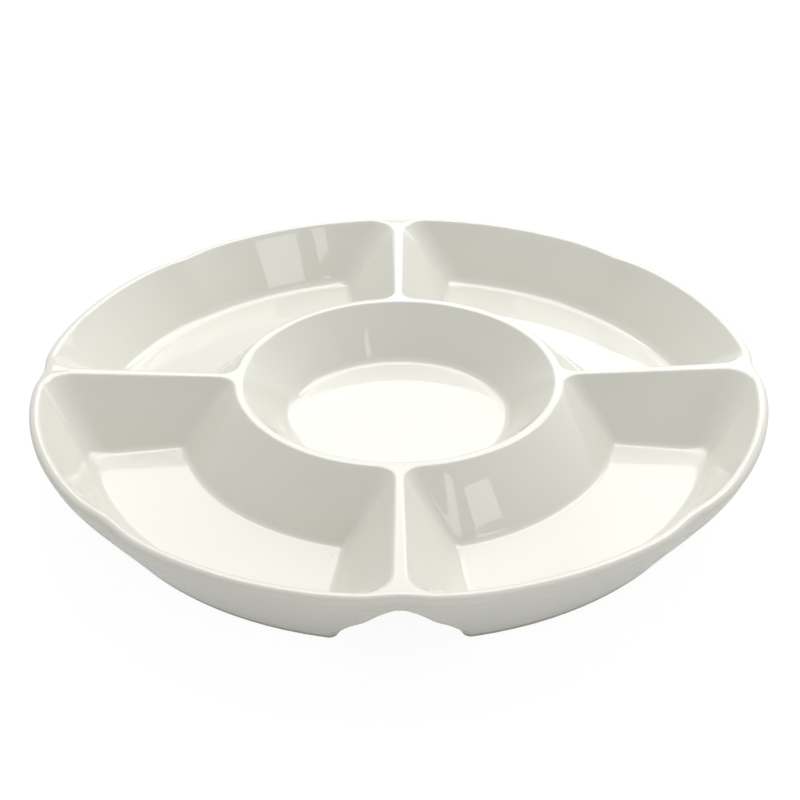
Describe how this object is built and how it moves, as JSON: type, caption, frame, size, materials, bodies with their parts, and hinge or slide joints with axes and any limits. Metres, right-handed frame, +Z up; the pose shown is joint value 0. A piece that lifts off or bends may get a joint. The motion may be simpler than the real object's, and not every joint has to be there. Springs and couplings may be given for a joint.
{
  "type": "divided serving bowl",
  "caption": "Round glazed ceramic serving dish with a centre bowl, outer wells between radial dividers, a softly notched rim and a bare foot under each well.",
  "frame": {"origin": "on the table, under the middle of the dish", "axes": "+Z up, -Y towards the front of the dish, the four dividers along X and Y"},
  "size_m": [0.2998, 0.2998, 0.036],
  "materials": {
    "glaze": "glossy ivory-white glaze",
    "bare_foot": "unglazed, ground smooth"
  },
  "bodies": {
    "root": {"dish": "glaze", "foot_front_left": "bare_foot", "foot_front_right": "bare_foot", "foot_back_left": "bare_foot", "foot_back_right": "bare_foot"}
  },
  "joints": []
}
